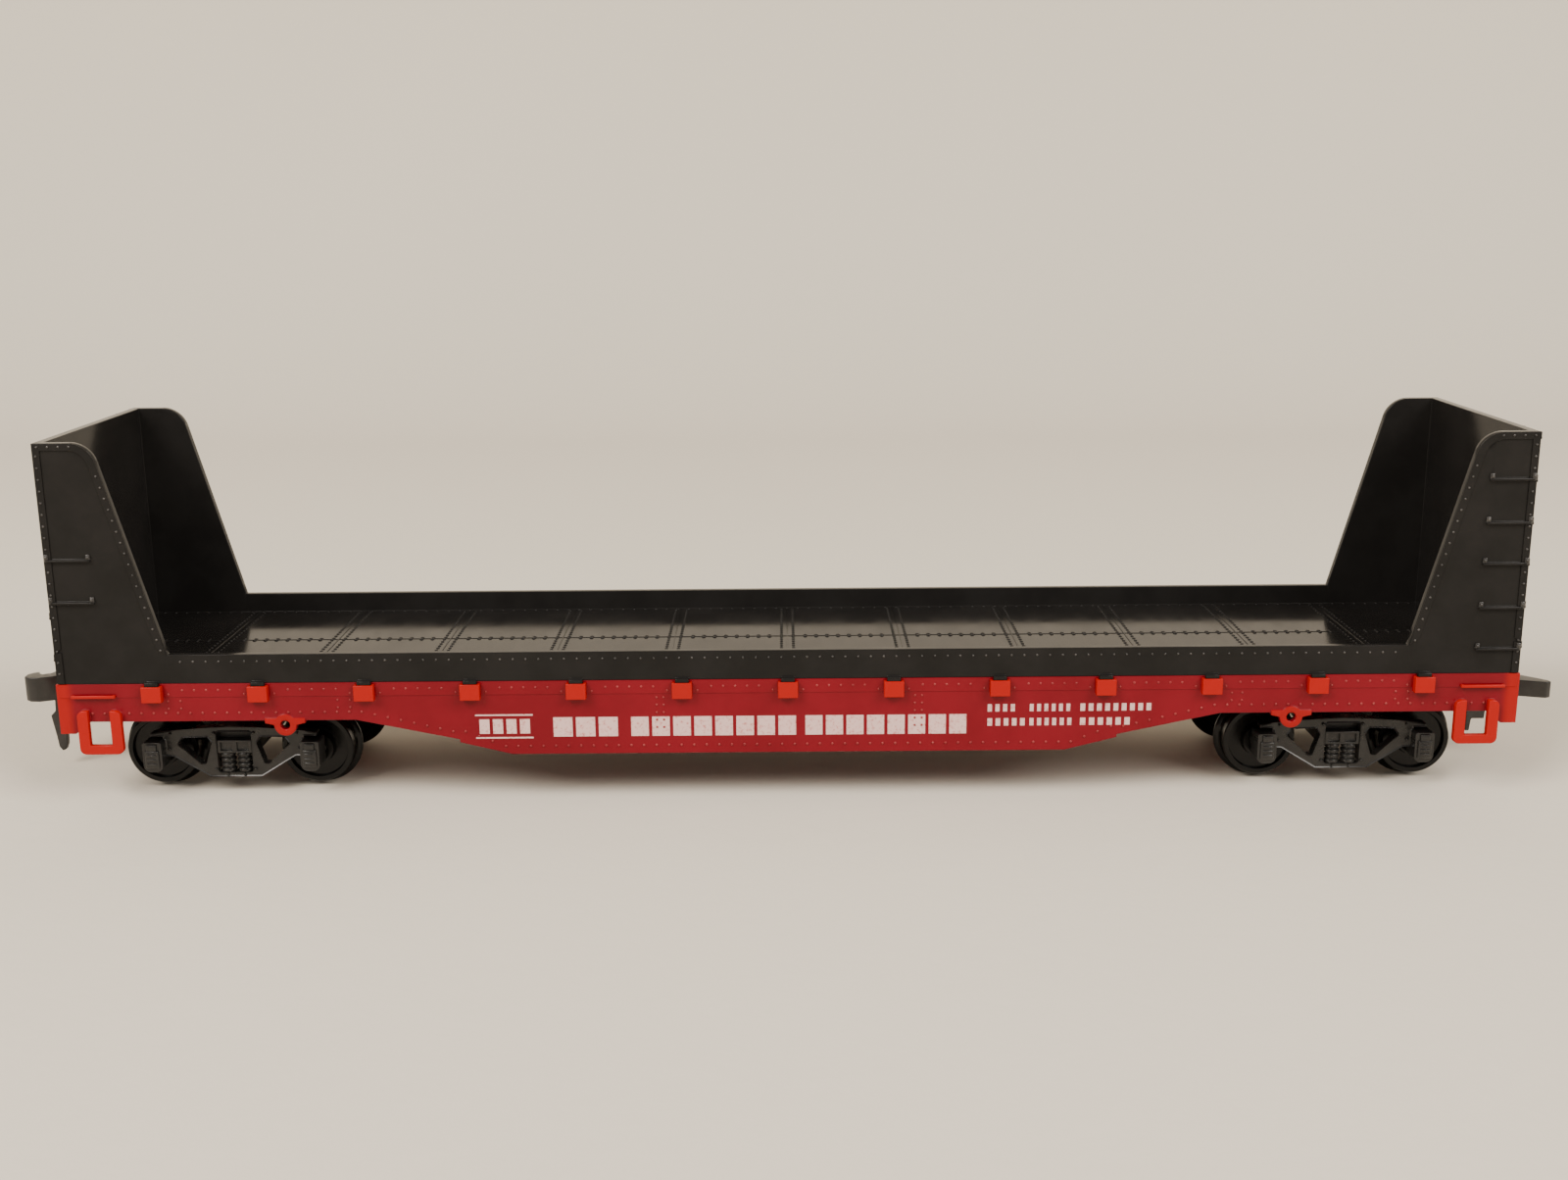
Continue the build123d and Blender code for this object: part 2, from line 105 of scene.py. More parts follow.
# small helpers
def deselectAll():
    if bpy.context.object and bpy.context.object.mode != "OBJECT":
        bpy.ops.object.mode_set(mode="OBJECT")
    bpy.ops.object.select_all(action="DESELECT")


def settle(piece, name=None):
    deselectAll()
    piece.select_set(True)
    bpy.context.view_layer.objects.active = piece
    bpy.ops.object.transform_apply(location=True, rotation=True, scale=True)
    if name:
        piece.name = name
        piece.data.name = name
    return piece


def joinPieces(pieces, name, smooth=0):
    deselectAll()
    for piece in pieces:
        piece.select_set(True)
    bpy.context.view_layer.objects.active = pieces[0]
    if len(pieces) > 1:
        bpy.ops.object.join()
    piece = settle(bpy.context.object, name)
    if smooth:
        bpy.ops.object.shade_smooth_by_angle(angle=radians(smooth))
    return piece


def finishPiece(piece, material, body):
    piece.data.materials.clear()
    piece.data.materials.append(material)
    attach(piece, body)
    return piece


def copyOf(piece, shift=(0, 0, 0)):
    twin = bpy.data.objects.new(piece.name + "_copy", piece.data.copy())
    bpy.context.scene.collection.objects.link(twin)
    twin.data.transform(Matrix.Translation(shift))
    return twin


def applyModifiers(piece):
    deselectAll()
    piece.select_set(True)
    bpy.context.view_layer.objects.active = piece
    for modifier in list(piece.modifiers):
        bpy.ops.object.modifier_apply(modifier=modifier.name)


def selectFaces(test):
    bm = bmesh.from_edit_mesh(bpy.context.object.data)
    bpy.ops.mesh.select_mode(type="FACE")
    for face in bm.faces:
        face.select = test(face)
    bmesh.update_edit_mesh(bpy.context.object.data)


def selectEdges(test):
    bm = bmesh.from_edit_mesh(bpy.context.object.data)
    bpy.ops.mesh.select_mode(type="EDGE")
    for edge in bm.edges:
        edge.select = test(edge)
    bm.select_flush_mode()
    bmesh.update_edit_mesh(bpy.context.object.data)


def spread(side, inner, outer):
    # the two distances as a low and a high place on one side of the car
    return sorted((side * inner, side * outer))


def makeBlock(low, high, bevelWidth=0.0, segments=2):
    # a bar between two corners with its edges rounded over
    low, high = Vector(low), Vector(high)
    deselectAll()
    bpy.ops.mesh.primitive_cube_add(size=1, location=(low + high) / 2, scale=high - low)
    block = settle(bpy.context.object)
    if bevelWidth:
        bpy.ops.object.mode_set(mode="EDIT")
        bpy.ops.mesh.select_all(action="SELECT")
        bpy.ops.mesh.bevel(offset=bevelWidth, segments=segments, affect="EDGES")
        bpy.ops.object.mode_set(mode="OBJECT")
    return block


# finishes
grainDepth = 0.00002


def newMaterial(name):
    material = bpy.data.materials.new(name)
    material.use_nodes = True
    tree = material.node_tree
    shader = tree.nodes["Principled BSDF"]
    coords = tree.nodes.new("ShaderNodeTexCoord")
    return material, tree, shader, coords.outputs["Object"]


def addNoise(tree, coords, scale, detail=3.0, roughness=0.6, stretch=None):
    noise = tree.nodes.new("ShaderNodeTexNoise")
    noise.inputs["Scale"].default_value = scale
    noise.inputs["Detail"].default_value = detail
    noise.inputs["Roughness"].default_value = roughness
    if stretch:
        mapping = tree.nodes.new("ShaderNodeMapping")
        mapping.inputs["Scale"].default_value = stretch
        tree.links.new(coords, mapping.inputs["Vector"])
        coords = mapping.outputs["Vector"]
    tree.links.new(coords, noise.inputs["Vector"])
    return noise.outputs["Fac"]


def addRange(tree, value, fromLow, fromHigh, toLow, toHigh):
    ramp = tree.nodes.new("ShaderNodeMapRange")
    ramp.interpolation_type = "SMOOTHSTEP"
    limits = {"From Min": fromLow, "From Max": fromHigh, "To Min": toLow, "To Max": toHigh}
    for socket, number in limits.items():
        ramp.inputs[socket].default_value = number
    tree.links.new(value, ramp.inputs["Value"])
    return ramp.outputs["Result"]


def addMix(tree, factor, first, second):
    mix = tree.nodes.new("ShaderNodeMix")
    mix.data_type = "RGBA"
    tree.links.new(factor, mix.inputs["Factor"])
    for socket, value in ((6, first), (7, second)):
        if isinstance(value, tuple):
            mix.inputs[socket].default_value = (*value, 1)
        else:
            tree.links.new(value, mix.inputs[socket])
    return mix.outputs[2]


def addMath(tree, operation, first, second=None):
    node = tree.nodes.new("ShaderNodeMath")
    node.operation = operation
    for index, value in enumerate((first, second)):
        if value is None:
            continue
        if isinstance(value, (int, float)):
            node.inputs[index].default_value = value
        else:
            tree.links.new(value, node.inputs[index])
    return node.outputs["Value"]


def addBump(tree, shader, height, strength, distance):
    bump = tree.nodes.new("ShaderNodeBump")
    bump.inputs["Strength"].default_value = strength
    bump.inputs["Distance"].default_value = distance
    tree.links.new(height, bump.inputs["Height"])
    tree.links.new(bump.outputs["Normal"], shader.inputs["Normal"])


def plasticFinish(name, settings):
    # moulded styrene: faint mottling, a soft moulded grain and a little dust
    material, tree, shader, coords = newMaterial(name)
    mottle = addNoise(tree, coords, settings["mottleScale"], 4)
    colour = addMix(tree, addRange(tree, mottle, 0.35, 0.65, 0, 1), settings["deep"], settings["light"])
    specks = addNoise(tree, coords, settings["speckScale"], 2, 0.5)
    speckMask = addRange(tree, specks, settings["speckCut"], settings["speckCut"] + 0.03, 0, 1)
    colour = addMix(tree, speckMask, colour, settings["dust"])
    tree.links.new(colour, shader.inputs["Base Color"])
    smear = addNoise(tree, coords, settings["smearScale"], 3, 0.7, (1, 0.35, 1))
    rough = addRange(tree, smear, 0.3, 0.7, settings["roughLow"], settings["roughHigh"])
    tree.links.new(rough, shader.inputs["Roughness"])
    grain = addNoise(tree, coords, settings["grainScale"], 2)
    addBump(tree, shader, grain, settings["grain"], grainDepth)
    shader.inputs["IOR"].default_value = settings["ior"]
    return material


blackSettings = {
    "deep": (0.0105, 0.0098, 0.0093), "light": (0.0140, 0.0130, 0.0123), "dust": (0.10, 0.09, 0.08),
    "mottleScale": 120, "speckScale": 1500, "speckCut": 0.86, "smearScale": 160,
    "roughLow": 0.11, "roughHigh": 0.19, "grainScale": 2500, "grain": 0.05, "ior": 1.2,
}
redSettings = {
    "deep": (0.150, 0.0018, 0.0075), "light": (0.178, 0.0028, 0.0098), "dust": (0.35, 0.12, 0.10),
    "mottleScale": 90, "speckScale": 1400, "speckCut": 0.86, "smearScale": 180,
    "roughLow": 0.28, "roughHigh": 0.38, "grainScale": 2200, "grain": 0.12, "ior": 1.28,
}
# raised heads are given a paler colour as a painted highlight, and a higher IOR so they catch more light
blackHighlightSettings = dict(blackSettings, deep=(0.020, 0.019, 0.018), light=(0.050, 0.046, 0.043),
                        ior=1.5)
redHighlightSettings = dict(redSettings, deep=(0.19, 0.007, 0.011), light=(0.27, 0.025, 0.027), ior=1.45)
truckSettings = {
    "deep": (0.0080, 0.0076, 0.0072), "light": (0.0150, 0.0142, 0.0135), "dust": (0.08, 0.072, 0.065),
    "mottleScale": 400, "speckScale": 1800, "speckCut": 0.82, "smearScale": 400,
    "roughLow": 0.24, "roughHigh": 0.36, "grainScale": 2600, "grain": 0.12, "ior": 1.45,
}
wheelSettings = dict(truckSettings, deep=(0.0030, 0.0029, 0.0028), light=(0.0048, 0.0046, 0.0044),
                     roughLow=0.16, roughHigh=0.26, ior=1.3)
couplerSettings = dict(truckSettings, deep=(0.016, 0.0148, 0.0138), light=(0.028, 0.026, 0.024),
                       roughLow=0.3)
# warmer red mixed in as a painted glow on proud parts and the sill ends
redGlowSettings = {
    "sideFrom": 0.01705, "sideTo": 0.0173, "endFrom": 0.0912, "endTo": 0.0926, "endShare": 0.8,
    "paintedGlow": (0.34, 0.0040, 0.0018),
}


def paintRedGlow(material, settings):
    # parts proud of the sill face and the sill end panels get a warmer, brighter red: a painted glow
    # standing in for light shining through the thin moulded plastic
    tree = material.node_tree
    shader = tree.nodes["Principled BSDF"]
    colour = shader.inputs["Base Color"].links[0].from_socket
    coords = next(node for node in tree.nodes if node.type == "TEX_COORD").outputs["Object"]
    split = tree.nodes.new("ShaderNodeSeparateXYZ")
    tree.links.new(coords, split.inputs["Vector"])
    outY = addRange(tree, addMath(tree, "ABSOLUTE", split.outputs["Y"]),
                    settings["sideFrom"], settings["sideTo"], 0, 1)
    outX = addRange(tree, addMath(tree, "ABSOLUTE", split.outputs["X"]),
                    settings["endFrom"], settings["endTo"], 0, settings["endShare"])
    glowMask = addMath(tree, "MAXIMUM", outY, outX)
    paintedGlow = addMix(tree, glowMask, colour, settings["paintedGlow"])
    tree.links.new(paintedGlow, shader.inputs["Base Color"])


def metalFinish(name, colour, roughness):
    # turned steel, streaked round the axle
    material, tree, shader, coords = newMaterial(name)
    turned = addNoise(tree, coords, 3000, 3, 0.6, (0.1, 1, 1))
    tint = addMix(tree, turned, tuple(c * 0.8 for c in colour), colour)
    tree.links.new(tint, shader.inputs["Base Color"])
    rough = addRange(tree, turned, 0.3, 0.7, roughness * 0.7, roughness * 1.3)
    tree.links.new(rough, shader.inputs["Roughness"])
    shader.inputs["Metallic"].default_value = 1
    return material


def printFinish():
    # pale print, thin enough that the red shows through in flecks
    material, tree, shader, coords = newMaterial("palePrint")
    wear = addNoise(tree, coords, 2600, 4, 0.7)
    flecks = addRange(tree, wear, 0.28, 0.5, 0, 1)
    colour = addMix(tree, flecks, (0.45, 0.14, 0.13), (0.66, 0.45, 0.42))
    tree.links.new(colour, shader.inputs["Base Color"])
    shader.inputs["Roughness"].default_value = 0.5
    addBump(tree, shader, wear, 0.2, grainDepth)
    return material


def stageFinish(name, colour, texture):
    # matt card with a faint tooth
    material, tree, shader, coords = newMaterial(name)
    pits = addNoise(tree, coords, 260, 4, 0.6)
    tone = addMix(tree, addNoise(tree, coords, 6, 3), tuple(c * 0.96 for c in colour), colour)
    tree.links.new(tone, shader.inputs["Base Color"])
    shader.inputs["Roughness"].default_value = 0.8
    shader.inputs["Specular IOR Level"].default_value = 0.2
    addBump(tree, shader, pits, texture, 0.0006)
    return material


finishes = {
    "red_plastic": plasticFinish("redStyrene", redSettings),
    "black_plastic": plasticFinish("blackStyrene", blackSettings),
    "truck_plastic": plasticFinish("truckBlack", truckSettings),
    "wheel_plastic": plasticFinish("wheelBlack", wheelSettings),
    "coupler_plastic": plasticFinish("couplerGrey", couplerSettings),
    "axle_steel": metalFinish("turnedSteel", (0.50, 0.48, 0.45), 0.3),
    "pin_steel": metalFinish("pinSteel", (0.55, 0.50, 0.42), 0.3),
    "weight_steel": metalFinish("weightSteel", (0.35, 0.34, 0.33), 0.5),
}
# the red finish carries a painted glow on proud parts and the sill ends
paintRedGlow(finishes["red_plastic"], redGlowSettings)
# paler black and red for raised heads and ladder feet: painted highlights
highlitBlack = plasticFinish("highlitBlack", blackHighlightSettings)
highlitRed = plasticFinish("highlitRed", redHighlightSettings)
palePrint = printFinish()
slotOf = {part["node"]: part["material_slot"] for part in frame["record"]["subparts"]}


# CAD parts with softened edges
softEdges = {
    "underframe": 0.09, "deck_body": 0.10, "truck_frame_a": 0.05, "truck_frame_b": 0.05,
    "coupler_a": 0.14, "coupler_b": 0.14,
}
softSettings = {
    "weld": 0.000002, "flat": 1.0, "segments": 2, "sharp": 38, "closeGap": 0.0000005, "smooth": 32,
    "weight": 100,
}
sideframeRim = {"width": 0.17, "depth": 0.15, "face": 12.5, "reach": 0.02}


def raiseRims(settings):
    # sink the middle of the sideframe faces, which leaves a rim round the outline and the windows
    face = settings["face"] * mm
    reach = settings["reach"] * mm
    selectFaces(lambda f: abs(f.normal.y) > 0.9 and abs(abs(f.calc_center_median().y) - face) < reach)
    bpy.ops.mesh.inset(thickness=settings["width"] * mm, depth=-settings["depth"] * mm,
                       use_even_offset=True)


faceSplits = {
    "pitch": 13.53, "halfBays": 13, "wing": 79.4, "ladder": 13.95, "truckHeight": 5.85,
    "heights": (20.3, 22.0, 25.6, 28.4, 31.2, 33.8, 38.2, 43.5),
}


def cutAcross(place, normal):
    bpy.ops.mesh.select_all(action="SELECT")
    bpy.ops.mesh.bisect(plane_co=place, plane_no=normal)
    bpy.ops.mesh.mark_seam()


def splitFaces(settings, nodeName):
    # cut the large flat faces through their holes, so that none is left with a hole in it
    if nodeName.startswith("truck_frame"):
        cutAcross((0, 0, settings["truckHeight"] * mm + flangeDepth), (0, 0, 1))
        return
    count = settings["halfBays"]
    places = [settings["pitch"] / 2 * step for step in range(-count, count + 1)]
    for x in places + [-settings["wing"], settings["wing"]]:
        cutAcross((x * mm, 0, 0), (1, 0, 0))
    for y in (-settings["ladder"], settings["ladder"]):
        cutAcross((0, y * mm, 0), (0, 1, 0))
    if nodeName == "deck_body":
        for z in settings["heights"]:
            cutAcross((0, 0, z * mm + flangeDepth), (0, 0, 1))


def softenPart(settings, nodeName, width):
    # the moulded part again, merged and with its edges rounded as they leave the tool
    source = cadNodes[nodeName]
    piece = bpy.data.objects.new(nodeName + "_moulded", source.data.copy())
    bpy.context.scene.collection.objects.link(piece)
    deselectAll()
    piece.select_set(True)
    bpy.context.view_layer.objects.active = piece
    bpy.ops.object.mode_set(mode="EDIT")
    bpy.ops.mesh.select_all(action="SELECT")
    bpy.ops.mesh.remove_doubles(threshold=settings["weld"])
    splitFaces(faceSplits, nodeName)
    bpy.ops.mesh.select_all(action="SELECT")
    bpy.ops.mesh.dissolve_limited(angle_limit=radians(settings["flat"]), delimit={"SEAM"})
    if nodeName.startswith("truck_frame"):
        raiseRims(sideframeRim)
    bpy.ops.object.mode_set(mode="OBJECT")
    bevel = piece.modifiers.new("edges", "BEVEL")
    bevel.width = width * mm
    bevel.segments = settings["segments"]
    bevel.limit_method = "ANGLE"
    bevel.angle_limit = radians(settings["sharp"])
    bevel.use_clamp_overlap = False
    bevel.miter_outer = "MITER_ARC"
    applyModifiers(piece)
    bpy.ops.object.mode_set(mode="EDIT")
    bpy.ops.mesh.select_all(action="SELECT")
    bpy.ops.mesh.remove_doubles(threshold=settings["closeGap"])
    bpy.ops.mesh.select_all(action="SELECT")
    bpy.ops.mesh.quads_convert_to_tris(ngon_method="BEAUTY")
    bpy.ops.object.mode_set(mode="OBJECT")
    bpy.ops.object.shade_smooth_by_angle(angle=radians(settings["smooth"]))
    weighted = piece.modifiers.new("flats", "WEIGHTED_NORMAL")
    weighted.keep_sharp = True
    weighted.weight = settings["weight"]
    applyModifiers(piece)
    slotName = slotOf[nodeName]
    finishPiece(piece, finishes[slotName], source["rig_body"])
    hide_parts(nodeName)


# rivets
rivetSettings = {"radius": 0.20, "proud": 0.17, "flatProud": 0.10, "sides": 8, "crown": 0.55}
facings = {
    "up": (0, 0, 0), "front": (radians(90), 0, 0), "back": (radians(-90), 0, 0),
    "right": (0, radians(90), 0), "left": (0, radians(-90), 0),
}
rivetStock = {}


def stockRivet(facing, size=1.0):
    # one domed head, modelled once for each way a surface faces
    key = (facing, size)
    if key in rivetStock:
        return rivetStock[key]
    radius = rivetSettings["radius"] * size * mm
    proud = rivetSettings["flatProud" if facing == "up" else "proud"] * size * mm
    crown = rivetSettings["crown"]
    deselectAll()
    bpy.ops.mesh.primitive_cylinder_add(
        vertices=rivetSettings["sides"], radius=radius, depth=proud, end_fill_type="NGON",
        location=(0, 0, 0))
    bpy.ops.object.mode_set(mode="EDIT")
    selectFaces(lambda face: face.normal.z > 0.9)
    bpy.ops.mesh.extrude_region_move(TRANSFORM_OT_translate={"value": (0, 0, proud / 2)})
    bpy.ops.transform.resize(value=(crown, crown, 1))
    bpy.ops.object.mode_set(mode="OBJECT")
    rivet = bpy.context.object
    rivet.rotation_euler = facings[facing]
    settle(rivet, f"rivet_{facing}_{size}")
    rivet.hide_render = True
    rivetStock[key] = rivet
    return rivet


def rivetRow(facing, start, step, count, size=1.0):
    # start and step are in mm; the row is one mesh made by repeating the head
    row = copyOf(stockRivet(facing, size), Vector(start) * mm)
    row.hide_render = False
    if count > 1:
        array = row.modifiers.new("row", "ARRAY")
        array.use_relative_offset = False
        array.use_constant_offset = True
        array.constant_offset_displace = Vector(step) * mm
        array.count = count
        applyModifiers(row)
    return row


def rivetLine(facing, start, end, pitch, size=1.0):
    start, end = Vector(start), Vector(end)
    count = max(1, round((end - start).length / pitch))
    return rivetRow(facing, start, (end - start) / count, count + 1, size)


def oneRivet(facing, place, size):
    return rivetRow(facing, place, (0, 0, 0), 1, size)


sillRivets = {
    "pitch": 1.6, "bayPitch": 1.53, "bayCount": 5, "bayLimit": 86, "top": 15.04, "low": 14.5,
    "pocketPitch": 13.53, "pockets": 13, "besidePocket": 4.85, "size": 0.85, "pocketSize": 0.8,
    "bottomEdge": [(-90, 10.85), (-55.5, 10.85), (-42.3, 8.1), (-35.6, 6.05), (35.6, 6.05), (42.3, 8.1),
                   (55.5, 10.85), (90, 10.85)],
    "edgeGap": 1.15, "cornerGap": 0.8,
    "joints": [(-78.6, 0.8), (-56.9, 0.8), (-16.4, 0.45), (16.7, 0.45), (57.5, 0.65), (78.6, 0.8)],
    "jointHead": 13.6, "deepFoot": 9.6, "shallowFoot": 12.6, "deepHalf": 40, "jointPitch": 1.1,
    "jointSize": 0.75, "endRows": (-16.3, 16.3, -9.2, 9.2), "endFoot": 10.1, "endHead": 15.2,
    "endPitch": 0.95,
}


def makeSillRivets(settings):
    rows = []
    lift = flangeDepth / mm
    for side, facing in ((-1, "front"), (1, "back")):
        y = side * sillFace / mm
        for bay in range(settings["pockets"] + 1):
            middle = settings["pocketPitch"] * (bay - settings["pockets"] / 2)
            if abs(middle) > settings["bayLimit"]:
                continue
            first = middle - settings["bayCount"] // 2 * settings["bayPitch"]
            step = (settings["bayPitch"], 0, 0)
            top = (first, y, settings["top"] + lift)
            rows.append(rivetRow(facing, top, step, settings["bayCount"], settings["size"]))
            for x in (middle - settings["besidePocket"], middle + settings["besidePocket"]):
                rows.append(oneRivet(facing, (x, y, settings["low"] + lift), settings["pocketSize"]))
        edge = settings["bottomEdge"]
        gap = settings["edgeGap"] + lift
        for (x1, z1), (x2, z2) in zip(edge, edge[1:]):
            start = (x1 + settings["cornerGap"], y, z1 + gap)
            stop = (x2 - settings["cornerGap"], y, z2 + gap)
            rows.append(rivetLine(facing, start, stop, settings["pitch"], settings["size"]))
        for x, half in settings["joints"]:
            low = settings["deepFoot" if abs(x) < settings["deepHalf"] else "shallowFoot"]
            for offset in (-half, half):
                foot = (x + offset, y, low + lift)
                head = (x + offset, y, settings["jointHead"] + lift)
                rows.append(rivetLine(facing, foot, head, settings["jointPitch"], settings["jointSize"]))
    for end, facing in ((-1, "left"), (1, "right")):
        x = end * frameHigh.x / mm
        for y in settings["endRows"]:
            foot = (x, y, settings["endFoot"] + lift)
            head = (x, y, settings["endHead"] + lift)
            rows.append(rivetLine(facing, foot, head, settings["endPitch"]))
    piece = joinPieces(rows, "sill_rivets", headSmooth)
    # the sill rivets take the paler red, a painted highlight
    finishPiece(piece, highlitRed, "car_body")
    print("sill rivets", len(piece.data.polygons))


sillBand = {"half": 93.2, "low": 14.1, "proud": 0.07, "under": 0.03, "edge": 0.02}


def makeSillBands(settings):
    # narrow band along the top of each sill, under the upper row of rivets
    half = settings["half"] * mm
    low = settings["low"] * mm + flangeDepth
    bands = []
    for side in (-1, 1):
        y1, y2 = spread(side, sillFace - seatDepth * mm, sillFace + settings["proud"] * mm)
        high = sillTop - settings["under"] * mm
        bands.append(makeBlock((-half, y1, low), (half, y2, high), settings["edge"] * mm, 1))
    piece = joinPieces(bands, "sill_bands")
    finishPiece(piece, finishes["red_plastic"], "car_body")


deckRivets = {
    "seams": 11, "seamPitch": 15.4, "rowGap": 0.8, "pitchY": 1.1, "halfY": 15.0, "seamSize": 1.15,
    "centrePitch": 1.5, "centreFirst": 2.45, "centreCount": 8, "centreGap": 0.38, "centreSize": 1.35,
    "halfDeck": 91, "edgeY": 15.72, "edgePitch": 1.6, "edgeSize": 1.3,
    "skirtZ": 18.8, "skirtPitch": 1.63, "skirtX": 77.4, "skirtSize": 0.8,
}


def makeDeckRivets(settings):
    rows = []
    top = deckTop / mm
    middle = settings["seams"] // 2
    halfY = settings["halfY"]
    for seam in range(settings["seams"]):
        x = settings["seamPitch"] * (seam - middle)
        for gap in (-settings["rowGap"], settings["rowGap"]):
            start, stop = (x + gap, -halfY, top), (x + gap, halfY, top)
            rows.append(rivetLine("up", start, stop, settings["pitchY"], settings["seamSize"]))
    halfDeck = settings["halfDeck"]
    for bay in range(-1, settings["seams"]):
        x = settings["seamPitch"] * (bay - middle) + settings["centreFirst"]
        places = [x + i * settings["centrePitch"] for i in range(settings["centreCount"])]
        inside = [place for place in places if abs(place) < halfDeck]
        step = (settings["centrePitch"], 0, 0)
        for y in (-settings["centreGap"], settings["centreGap"]):
            rows.append(rivetRow("up", (inside[0], y, top), step, len(inside), settings["centreSize"]))
    for side in (-1, 1):
        y = side * settings["edgeY"]
        start, stop = (-halfDeck, y, top), (halfDeck, y, top)
        rows.append(rivetLine("up", start, stop, settings["edgePitch"], settings["edgeSize"]))
    piece = joinPieces(rows, "deck_rivets", headSmooth)
    finishPiece(piece, finishes["black_plastic"], "car_body")
    print("deck rivets", len(piece.data.polygons))


def makeSkirtRivets(settings):
    rows = []
    x = settings["skirtX"]
    z = settings["skirtZ"] + flangeDepth / mm
    for side, facing in ((-1, "front"), (1, "back")):
        y = side * sillFace / mm
        pitch = settings["skirtPitch"]
        rows.append(rivetLine(facing, (-x, y, z), (x, y, z), pitch, settings["skirtSize"]))
    piece = joinPieces(rows, "skirt_rivets", headSmooth)
    # the skirt rivets take the paler black, a painted highlight
    finishPiece(piece, highlitBlack, "car_body")


seamSettings = {"width": 0.16, "proud": 0.07, "halfAcross": 15.9, "halfAlong": 92, "edge": 0.05}


def makeDeckSeams(settings):
    # butt joints of the steel deck sheets, moulded as fine raised lines
    strips = []
    half = settings["width"] / 2 * mm
    low, high = deckTop - seatDepth * mm, deckTop + settings["proud"] * mm
    across = settings["halfAcross"] * mm
    along = settings["halfAlong"] * mm
    edge = settings["edge"] * mm
    middle = deckRivets["seams"] // 2
    for seam in range(deckRivets["seams"]):
        x = deckRivets["seamPitch"] * (seam - middle) * mm
        strips.append(makeBlock((x - half, -across, low), (x + half, across, high), edge))
    strips.append(makeBlock((-along, -half, low), (along, half, high), edge))
    piece = joinPieces(strips, "deck_seams")
    finishPiece(piece, finishes["black_plastic"], "car_body")


# bands and rivets on the bulkhead wings
wingSettings = {
    "foot": (79.05, 20.35), "head": (86.28, 47.6), "end": 93.28, "corner": 2.53, "band": 0.95,
    "cornerSteps": 8, "reach": 0.5, "proud": 0.16, "edge": 0.06, "sharp": 50, "footOver": 0.4,
    "footEdge": 0.02, "rivetPitch": 1.45, "rivetIn": 0.45, "rivetSize": 0.8, "leanRun": (0.8, 24.0),
    "topRun": (88.6, 92.6), "topPitch": 1.3, "endFoot": 18.0, "endGap": 1.6,
}


def makeWingBand(settings, end, side):
    # raised border of one wing: a plate cut along the lean, its corner rounded, then inset
    footX, footZ = settings["foot"]
    headX, headZ = settings["head"]
    width = settings["end"] - footX
    height = headZ - footZ
    deselectAll()
    bpy.ops.mesh.primitive_plane_add(size=1, location=(0, 0, 0), rotation=(radians(90), 0, 0))
    plate = bpy.context.object
    plate.scale = (width * mm, height * mm, 1)
    middle = (end * (footX + width / 2), side * (sillFace / mm - seatDepth), footZ + height / 2)
    plate.location = Vector(middle) * mm
    settle(plate)
    bpy.ops.object.mode_set(mode="EDIT")
    bpy.ops.mesh.select_all(action="SELECT")
    outward = Vector((-end * height, 0, headX - footX)).normalized()
    bpy.ops.mesh.bisect(plane_co=(end * footX * mm, 0, footZ * mm), plane_no=outward, clear_outer=True)
    # only the corner at the head of the lean is rounded
    reach = settings["reach"]
    bm = bmesh.from_edit_mesh(plate.data)
    bpy.ops.mesh.select_mode(type="VERT")
    for vertex in bm.verts:
        vertex.select = vertex.co.z > (headZ - reach) * mm and abs(vertex.co.x) < (headX + reach) * mm
    bm.select_flush_mode()
    bmesh.update_edit_mesh(plate.data)
    bpy.ops.mesh.bevel(offset=settings["corner"] * mm, segments=settings["cornerSteps"],
                       affect="VERTICES")
    bpy.ops.mesh.select_mode(type="FACE")
    bpy.ops.mesh.select_all(action="SELECT")
    bpy.ops.mesh.inset(thickness=settings["band"] * mm)
    bpy.ops.mesh.delete(type="FACE")
    # the band stops at the skirt, so its bottom run is taken away
    selectFaces(lambda face: face.calc_center_median().z < (footZ + 1.0) * mm)
    bpy.ops.mesh.delete(type="FACE")
    bpy.ops.mesh.select_all(action="SELECT")
    bpy.ops.mesh.extrude_region_move(
        TRANSFORM_OT_translate={"value": (0, side * (settings["proud"] + seatDepth) * mm, 0)})
    bpy.ops.mesh.select_all(action="SELECT")
    bpy.ops.mesh.normals_make_consistent(inside=False)
    bpy.ops.object.mode_set(mode="OBJECT")
    return plate


